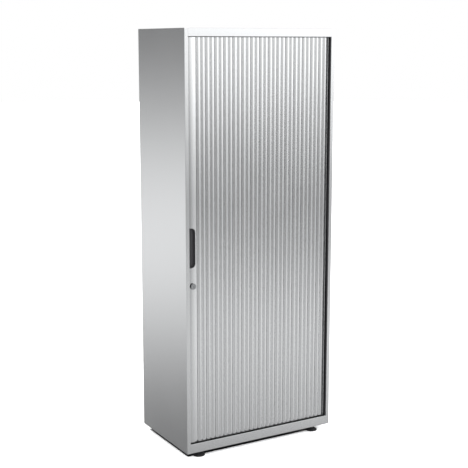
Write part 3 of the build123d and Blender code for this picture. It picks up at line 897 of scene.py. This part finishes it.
def rounded_mouth(margin: float, front: float, rear: float) -> Piece:
    """Makes the pull's D-shaped outline as a block, square on the left and rounded on the right.

    Args:
        margin: How much larger than the pull it is all round.
        front: Where it starts.
        rear: Where it ends.

    Returns:
        The new object.
    """
    low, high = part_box("handle_cup")
    left, right = low.x - margin, high.x + margin
    block = edit(box_piece((left, front, low.z - margin), (right, rear, high.z + margin)))
    for side, radius, steps in ((right, Pull.corner_right + margin, 12), (left, Pull.corner_left, 4)):
        pick(block, Part.EDGE, lambda ends, along: abs(along.y) > PARALLEL and abs(ends[0].x - side) < TOUCH)
        round_off(radius, steps)
    return close(block)


@dataclass
class Pull:
    """Recessed black pull: a lip, a D-shaped pocket and one sloping side for the fingers."""

    shop: Paintshop
    corner_right: float = 0.020
    corner_left: float = 0.002
    rim: float = 0.0032
    lip: float = 0.001
    slope: float = 0.011
    slope_root: float = 0.002
    edge_round: float = 0.0005
    floor_wall: float = 0.0015
    cutter_reach: float = 0.005

    def build(self) -> None:
        """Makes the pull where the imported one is."""
        low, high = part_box("handle_cup")
        floor = high.y - self.floor_wall
        cup = rounded_mouth(0.0, low.y, high.y)
        pocket = rounded_mouth(-self.rim, low.y - self.cutter_reach, floor)
        left, front = low.x + self.rim, low.y + self.lip
        start = (left - self.slope_root, front, low.z)
        wedge = edit(box_piece(start, (left + self.slope, floor + self.slope_root, high.z)))
        pick(wedge, Part.POINT, lambda corners, _: corners[0].x > left and corners[0].y < front + TOUCH)
        bpy.ops.transform.translate(value=(-self.slope, 0, 0))
        cut(cup, cut(pocket, close(wedge)))
        finish_with(
            cup, "BEVEL", width=self.edge_round, segments=2, limit_method="ANGLE",
            angle_limit=math.radians(40), harden_normals=True,
        )
        even(smooth(cup, 35))
        self.shop.hand_over(
            cup, "recessed_pull", "black_plastic", ["handle_cup"], Body.SHUTTER.value, "pull_moulding"
        )


# Lock


@dataclass
class Lock:
    """Round cam lock: bevelled face ring, dark sleeve, turning plug with its key slot, and the cam's screw."""

    shop: Paintshop
    bevel: float = 0.0010
    bore: float = 0.00705
    bore_depth: float = 0.0020
    plug: float = 0.0070
    plug_bevel: float = 0.0004
    slot_width: float = 0.0016
    slot_tall: float = 0.0080
    slot_deep: float = 0.0060
    barrel: float = 0.0095
    head: float = 0.0138
    head_sides: int = 72
    sleeve: float = 0.0005
    sleeve_back: float = 0.0015
    seat: float = 0.0110
    cam_seat: float = 0.0080
    washer: float = 0.0060
    washer_thick: float = 0.0008
    screw: float = 0.0042
    screw_head: float = 0.0025
    screw_bevel: float = 0.0004

    def build(self) -> None:
        """Makes the housing, the plug and the screw behind the cam."""
        low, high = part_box("lock_housing")
        self.x, self.z = (low.x + high.x) / 2, (low.z + high.z) / 2
        self.front, self.rear = low.y, high.y
        self._housing()
        self._sleeve()
        plug_low, plug_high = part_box("lock_plug")
        self._plug(plug_low.y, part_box("lock_cam")[0].y, plug_high.y)
        self._screw(plug_high.y)

    def _bar(self, front: float, length: float, radius: float, sides: int) -> Piece:
        """Starts a bar on the lock's axis."""
        return bar_piece((self.x, front, self.z), length, radius, sides)

    def _block(self, width: float, tall: float, front: float, rear: float) -> Piece:
        """Starts a block about the lock's axis."""
        low = (self.x - width / 2, front, self.z - tall / 2)
        return box_piece(low, (self.x + width / 2, rear, self.z + tall / 2))

    def _housing(self) -> None:
        """Models the face ring and the barrel behind it."""
        face, back = self.head - self.sleeve, self.front + self.seat
        ring = edit(self._bar(self.front, self.seat, face, self.head_sides))
        pick(ring, Part.EDGE, before(self.front))
        round_off(self.bevel, 4)
        pick(ring, Part.FACE, before(self.front))
        bpy.ops.mesh.inset(thickness=face - self.bevel - self.bore)
        pull(y=self.bore_depth)
        pick(ring, Part.FACE, behind(back))
        bpy.ops.mesh.inset(thickness=face - self.barrel)
        pull(y=self.rear - back)
        even(close(ring, 35))
        self.shop.hand_over(ring, "lock_ring", "lock_chrome", ["lock_housing"], Body.SHUTTER.value)

    def _sleeve(self) -> None:
        """Models the dark sleeve round the head, from just behind the face to the head's back."""
        front, length = self.front + self.sleeve_back, self.seat - self.sleeve_back
        sleeve = self._bar(front, length, self.head, self.head_sides)
        hole = self._bar(front - length / 2, 2 * length, self.head - self.sleeve, self.head_sides)
        even(smooth(cut(sleeve, hole), 35))
        self.shop.hand_over(sleeve, "lock_sleeve", "black_plastic", body=Body.SHUTTER.value)

    def _plug(self, front: float, rear: float, end: float) -> None:
        """Models the plug with its key slot and the square that carries the cam.

        Args:
            front: Depth of the plug's face.
            rear: Where the square starts.
            end: Where the square ends.
        """
        plug = edit(self._bar(front, rear - front, self.plug, 48))
        pick(plug, Part.EDGE, before(front))
        round_off(self.plug_bevel, 2)
        close(plug, 35)
        deep = self.slot_deep
        cut(plug, self._block(self.slot_width, self.slot_tall, front - deep, front + deep))
        even(smooth(plug, 35))
        join([plug, self._block(self.cam_seat, self.cam_seat, rear, end)])
        self.shop.hand_over(plug, "lock_plug_turned", "lock_chrome", ["lock_plug"], Body.LOCK.value)

    def _screw(self, rear: float) -> None:
        """Models the hexagon-headed screw and its washer behind the cam."""
        washer = smooth(self._bar(rear, self.washer_thick, self.washer, 24), 40)
        start = rear + self.washer_thick
        head = edit(self._bar(start, self.screw_head, self.screw, 6))
        pick(head, Part.EDGE, behind(start + self.screw_head))
        round_off(self.screw_bevel, 2)
        self.shop.hand_over(join([close(head), washer]), "cam_screw", "zinc", body=Body.LOCK.value)


# Feet


@dataclass
class Foot:
    """One levelling foot: a sloping round pad, and a threaded stud with a hexagon."""

    shop: Paintshop
    place: str
    pad: float = 0.029
    pad_edge: float = 0.005
    pad_round: float = 0.0009
    collar: float = 0.012
    stud: float = 0.005
    pitch: float = 0.0015
    thread_depth: float = 0.0009
    thread_steps: int = 20
    core_overlap: float = 0.0002
    hexagon: float = 0.0085
    hexagon_gap: float = 0.0003
    hexagon_round: float = 0.0006

    def build(self) -> None:
        """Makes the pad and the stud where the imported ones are."""
        low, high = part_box(f"foot_pad_{self.place}")
        self.x, self.y = (low.x + high.x) / 2, (low.y + high.y) / 2
        self.low, self.high = low.z, high.z
        self._pad()
        self._stud()

    def _bar(self, low: float, high: float, radius: float, sides: int) -> Piece:
        """Starts an upright bar on the foot's axis."""
        return bar_piece((self.x, self.y, low), high - low, radius, sides, upright=True)

    def _hand_over(self, piece: Piece, kind: str, slot: str) -> None:
        """Hands over the pad or the stud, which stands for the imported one."""
        name, node, body = (f"{start}_{self.place}" for start in (kind, f"foot_{kind}", "foot"))
        self.shop.hand_over(piece, name, slot, [node], body)

    def _pad(self) -> None:
        """Models the pad: a disc whose top is drawn up to the collar, with rounded edges."""
        edge = self.low + self.pad_edge
        pad = edit(self._bar(self.low, edge, self.pad, 48))
        pick(pad, Part.FACE, lambda corners, _: min(c.z for c in corners) > edge - TOUCH)
        pull(z=self.high - edge)
        share = self.collar / self.pad
        bpy.ops.transform.resize(value=(share, share, 1.0), center_override=(self.x, self.y, self.high))
        pick(pad, Part.EDGE, lambda _, along: abs(along.z) < LEVEL)
        round_off(self.pad_round, 3)
        self._hand_over(even(close(pad, 35)), "pad", "pad_plastic")

    def _stud(self) -> None:
        """Models the hexagon, from the pad to the case, and the threaded rod above it."""
        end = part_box(f"foot_stud_{self.place}")[1].z
        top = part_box("base_panel")[0].z - self.hexagon_gap
        radius = self.hexagon / math.cos(math.pi / 6)
        turning = edit(self._bar(self.high, top, radius, 6))
        pick(turning, Part.EDGE, lambda _, along: abs(along.z) < LEVEL)
        round_off(self.hexagon_round, 2)
        close(turning)
        core = smooth(self._bar(top, end, self.stud - self.thread_depth + self.core_overlap, 24), 40)
        self._hand_over(join([turning, self._thread(top, end), core]), "stud", "zinc")

    def _thread(self, low: float, high: float) -> Piece:
        """Winds one pitch of the thread's outline up the rod.

        Args:
            low: Where the thread starts.
            high: Where the rod ends.

        Returns:
            The new piece.
        """
        rod = upright_edge(self.stud, 0.0, low, low + self.pitch)
        bpy.ops.mesh.subdivide(number_cuts=1)
        half = low + self.pitch / 2
        pick(rod, Part.POINT, lambda corners, _: abs(corners[0].z - half) < TOUCH)
        bpy.ops.transform.translate(value=(-self.thread_depth, 0, 0))
        finish_with(
            rod, "SCREW", axis="Z", angle=2 * math.pi, screw_offset=self.pitch,
            iterations=int((high - low) / self.pitch) - 1, steps=self.thread_steps,
            render_steps=self.thread_steps, use_merge_vertices=True, merge_threshold=MERGE,
        )
        rod.location = (self.x, self.y, 0)
        return close(edit(settle(rod)), 35)


# Studio


@dataclass(frozen=True)
class Lamp:
    """One soft square lamp, which doesn't show in the metal."""

    name: str
    place: Point
    target: Point
    size: float
    power: float

    def build(self) -> None:
        """Hangs the lamp and points it at its target."""
        data = bpy.data.lights.new(self.name, "AREA")
        data.energy, data.size = self.power, self.size
        lamp = bpy.data.objects.new(self.name, data)
        bpy.context.scene.collection.objects.link(lamp)
        lamp.location = self.place
        lamp.visible_glossy = False
        aim = Vector(self.target) - Vector(self.place)
        lamp.rotation_euler = aim.to_track_quat("-Z", "Y").to_euler()


@dataclass(frozen=True)
class Sector:
    """The surroundings on one side: a bearing in degrees, from the front towards the right, and levels.

    It starts where a direction's cosine to the bearing is start, and stands alone from full on. A level is
    a height in the sphere of directions, from -1 to 1, and how bright it is there.
    """

    bearing: float
    start: float
    full: float
    levels: Levels

    @property
    def aim(self) -> Point:
        """Direction of the bearing."""
        return math.sin(math.radians(self.bearing)), -math.cos(math.radians(self.bearing)), 0.0


LEFT_LEVELS: Levels = (
    (-1, 0.4), (-0.41, 0.38), (-0.377, 0.42), (-0.358, 0.5), (-0.339, 0.6), (-0.304, 0.84), (-0.267, 1.04),
    (-0.23, 0.7), (-0.19, 0.25), (-0.155, 0.05), (-0.115, 0.1), (-0.075, 0.38), (-0.037, 0.76), (0, 1.1),
    (0.05, 1.25), (0.1, 1.25), (0.3, 1.1), (1, 1),
)
RIGHT_LEVELS: Levels = (
    (-1, 0.42), (-0.41, 0.36), (-0.377, 0.48), (-0.358, 0.8), (-0.339, 0.9), (-0.304, 1.1), (-0.267, 1.54),
    (-0.23, 1.27), (-0.19, 0.62), (-0.155, 0.35), (-0.115, 0.5), (-0.075, 1.34), (-0.037, 2.1), (0, 2.4),
    (0.05, 2.45), (0.1, 2.4), (0.3, 1.6), (1, 1.2),
)
FLANK_LEVELS: Levels = (
    (-1, 0.42), (-0.41, 0.46), (-0.377, 0.54), (-0.339, 0.74), (-0.304, 1.04), (-0.267, 1.28),
    (-0.23, 0.92), (-0.19, 0.34), (-0.155, 0.04), (-0.115, 0.1), (-0.075, 0.46), (-0.037, 0.9), (0, 1.1),
    (0.05, 1.25), (0.1, 1.25), (0.3, 1.1), (1, 1),
)
SIDE_LEVELS: Levels = (
    (-1, 0.5), (-0.41, 0.52), (-0.339, 0.64), (-0.267, 0.9), (-0.21, 0.86), (-0.155, 0.62), (-0.1, 0.66),
    (-0.037, 0.86), (0.03, 0.98), (0.1, 1), (0.3, 0.95), (1, 1),
)
REAR_LEVELS: Levels = (
    (-1, 0.4), (-0.39, 0.18), (-0.342, 0.28), (-0.309, 0.5), (-0.259, 0.98), (-0.211, 1.26), (-0.182, 1.3),
    (-0.117, 1.12), (-0.068, 0.68), (0, 0.28), (0.087, 0.15), (0.3, 0.5), (1, 1),
)


@dataclass
class Studio:
    """Floor, soft surroundings, lamps and the camera."""

    camera_place: Point = (-2.511, -4.278, 1.912)
    camera_turn: float = 30.28
    camera_tilt: float = 9.42
    lens: float = 79.6
    sensor: float = 36.0
    shift: float = -0.04
    floor_radius: float = 30.0
    floor_drop: float = -0.0002
    floor_shade: float = 0.90
    floor_lift: float = 0.03
    # A near-black sheet laid just above the floor under the case paints the case's deep shadow there.
    shadow_sheet_height: float = 0.0001
    shadow_sheet_shade: float = 0.01
    shadow_sheet_inset_low: Point = (0.022, 0.040, 0.0)
    shadow_sheet_inset_high: Point = (0.050, 0.020, 0.0)
    highest_level: float = 2.5
    sectors: tuple[Sector, ...] = (
        Sector(80.0, 0.3, 0.85, RIGHT_LEVELS),
        Sector(-70.0, 0.35, 0.8, FLANK_LEVELS),
        Sector(105.0, 0.77, 0.95, SIDE_LEVELS),
        Sector(-150.0, 0.2, 0.7, REAR_LEVELS),
    )
    lamps: tuple[Lamp, ...] = (
        Lamp("key", (-1.6, -3.2, 3.6), (0.0, 0.0, 0.9), 2.2, 40.0),
        Lamp("side", (-3.6, 0.6, 2.4), (0.0, 0.0, 1.0), 2.0, 15.0),
    )

    def build(self) -> None:
        """Sets the stage."""
        self._camera()
        self._floor()
        self._paint_shadow_below()
        self._world()
        for lamp in self.lamps:
            lamp.build()
        bpy.context.scene.view_settings.view_transform = "Standard"

    def _camera(self) -> None:
        """Adds the camera."""
        data = bpy.data.cameras.new("camera")
        data.lens, data.sensor_width, data.shift_y = self.lens, self.sensor, self.shift
        camera = bpy.data.objects.new("camera", data)
        bpy.context.scene.collection.objects.link(camera)
        camera.location = self.camera_place
        camera.rotation_euler = (math.radians(90 - self.camera_tilt), 0, math.radians(-self.camera_turn))
        bpy.context.scene.camera = camera

    def _floor(self) -> None:
        """Lays a pale floor that the camera sees as white and that keeps the cupboard's shadow."""
        lay_down_all()
        bpy.ops.mesh.primitive_circle_add(
            vertices=96, radius=self.floor_radius, location=(0, 0, self.floor_drop), fill_type="NGON"
        )
        floor = bpy.context.object
        floor.name = floor.data.name = "floor"
        material = bpy.data.materials.new("pale_floor")
        material.use_nodes = True
        tree = material.node_tree
        tree.nodes.clear()
        diffuse = add(tree, "ShaderNodeBsdfDiffuse", {"Color": grey(self.floor_shade)}).outputs[0]
        lift = add(tree, "ShaderNodeEmission", {"Strength": self.floor_lift}).outputs[0]
        clear = add(tree, "ShaderNodeBsdfTransparent").outputs[0]
        bright = diffuse
        for other in (diffuse, diffuse, lift):
            bright = add(tree, "ShaderNodeAddShader", {0: bright, 1: other}).outputs[0]
        rays = add(tree, "ShaderNodeLightPath").outputs
        seen = add(tree, "ShaderNodeMixShader", {0: rays["Is Camera Ray"], 1: diffuse, 2: bright}).outputs[0]
        passing = self._any_of(tree, rays["Is Glossy Ray"], rays["Is Transmission Ray"], rays["Is Shadow Ray"])
        through = add(tree, "ShaderNodeMixShader", {0: passing, 1: seen, 2: clear}).outputs[0]
        add(tree, "ShaderNodeOutputMaterial", {0: through})
        floor.data.materials.append(material)

    def _paint_shadow_below(self) -> None:
        """Lays a near-black sheet just above the floor, well inside the case's edges: painted shadow where the
        case's deep shade falls.
        """
        low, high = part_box("base_panel")
        low, high = low + Vector(self.shadow_sheet_inset_low), high - Vector(self.shadow_sheet_inset_high)
        middle = ((low.x + high.x) / 2, (low.y + high.y) / 2, self.shadow_sheet_height)
        lay_down_all()
        bpy.ops.mesh.primitive_plane_add(size=1, location=middle)
        shadow_sheet = bpy.context.object
        shadow_sheet.name = shadow_sheet.data.name = "painted_shadow_below_case"
        shadow_sheet.scale = (high.x - low.x, high.y - low.y, 1)
        settle(shadow_sheet)
        material = bpy.data.materials.new("painted_shadow_sheet_material")
        material.use_nodes = True
        tree = material.node_tree
        feed(tree, tree.nodes["Principled BSDF"], {"Base Color": grey(self.shadow_sheet_shade)})
        shadow_sheet.data.materials.append(material)

    def _any_of(self, tree: Tree, result: Socket, *others: Socket) -> Socket:
        """Says 1 for a ray of any of the given kinds."""
        for other in others:
            result = add(tree, "ShaderNodeMath", {0: result, 1: other}, operation="MAXIMUM").outputs[0]
        return result

    def _world(self) -> None:
        """Surrounds the cupboard with white for the camera and with a soft studio for its sheen."""
        world = bpy.data.worlds.new("studio")
        bpy.context.scene.world = world
        world.use_nodes = True
        tree = world.node_tree
        tree.nodes.clear()
        ground = add(tree, "ShaderNodeBackground", {"Color": grey(1.0)}).outputs[0]
        studio = add(tree, "ShaderNodeBackground", {"Strength": self._surroundings(tree)}).outputs[0]
        rays = add(tree, "ShaderNodeLightPath").outputs
        plain = self._any_of(tree, rays["Is Camera Ray"], rays["Is Transmission Ray"])
        mixed = add(tree, "ShaderNodeMixShader", {0: plain, 1: studio, 2: ground}).outputs[0]
        add(tree, "ShaderNodeOutputWorld", {0: mixed})

    def _surroundings(self, tree: Tree) -> Socket:
        """Works out how bright the studio is in each direction.

        Args:
            tree: The world's nodes.

        Returns:
            The strength's socket.
        """
        direction = add(tree, "ShaderNodeTexCoord").outputs["Generated"]
        height = add(tree, "ShaderNodeSeparateXYZ", {0: direction}).outputs["Z"]
        level = self._ramp(tree, height, LEFT_LEVELS)
        for sector in self.sectors:
            share = self._toward(tree, direction, sector)
            ends = {"Factor": share, "A": level, "B": self._ramp(tree, height, sector.levels)}
            level = add(tree, "ShaderNodeMix", ends, data_type="FLOAT").outputs["Result"]
        return level

    def _ramp(self, tree: Tree, height: Socket, levels: Levels) -> Socket:
        """Turns a height from -1 to 1 into a strength by a smooth ramp.

        Args:
            tree: The world's nodes.
            height: The height's socket.
            levels: Pairs of height and strength.

        Returns:
            The strength's socket.
        """
        share = add(tree, "ShaderNodeMapRange", {"Value": height, "From Min": -1.0, "From Max": 1.0}).outputs[0]
        node = add(tree, "ShaderNodeValToRGB", {0: share})
        ramp = node.color_ramp
        ramp.interpolation = "B_SPLINE"
        while len(ramp.elements) > 1:
            ramp.elements.remove(ramp.elements[0])
        for number, (place, strength) in enumerate(levels):
            position = (place + 1) / 2
            stop = ramp.elements.new(position) if number else ramp.elements[0]
            stop.position = position
            stop.color = grey(strength / self.highest_level)
        strengths = {0: node.outputs[0], 1: self.highest_level}
        return add(tree, "ShaderNodeMath", strengths, operation="MULTIPLY").outputs[0]

    def _toward(self, tree: Tree, direction: Socket, sector: Sector) -> Socket:
        """Says from 0 to 1 how far a direction leans to a sector's bearing.

        Args:
            tree: The world's nodes.
            direction: The direction's socket.
            sector: The sector.

        Returns:
            The result's socket.
        """
        aims = {0: direction, 1: sector.aim}
        lean = add(tree, "ShaderNodeVectorMath", aims, operation="DOT_PRODUCT").outputs["Value"]
        ends = {"Value": lean, "From Min": sector.start, "From Max": sector.full}
        return add(tree, "ShaderNodeMapRange", ends).outputs[0]


def dress_packed_nodes(shop: Paintshop, frame: dict) -> None:
    """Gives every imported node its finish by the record's slot.

    Args:
        shop: The paintshop.
    """
    for row in frame["record"]["subparts"]:
        shop.coat(frame["nodes"][row["node"]], row["material_slot"])


def main() -> None:
    """Builds and dresses every sub-assembly."""
    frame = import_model()
    Studio().build()
    shop = Paintshop()
    dress_packed_nodes(shop, frame)
    Case(shop, frame["nodes"]).build()
    Curtain(shop, frame["joints"]).build()
    LeadSlat(shop).build()
    Pull(shop).build()
    Lock(shop).build()
    for place in ("front_left", "front_right", "rear_left", "rear_right"):
        Foot(shop, place).build()


if __name__ == "__main__":
    logging.basicConfig(level=logging.INFO, format="%(message)s")
    main()
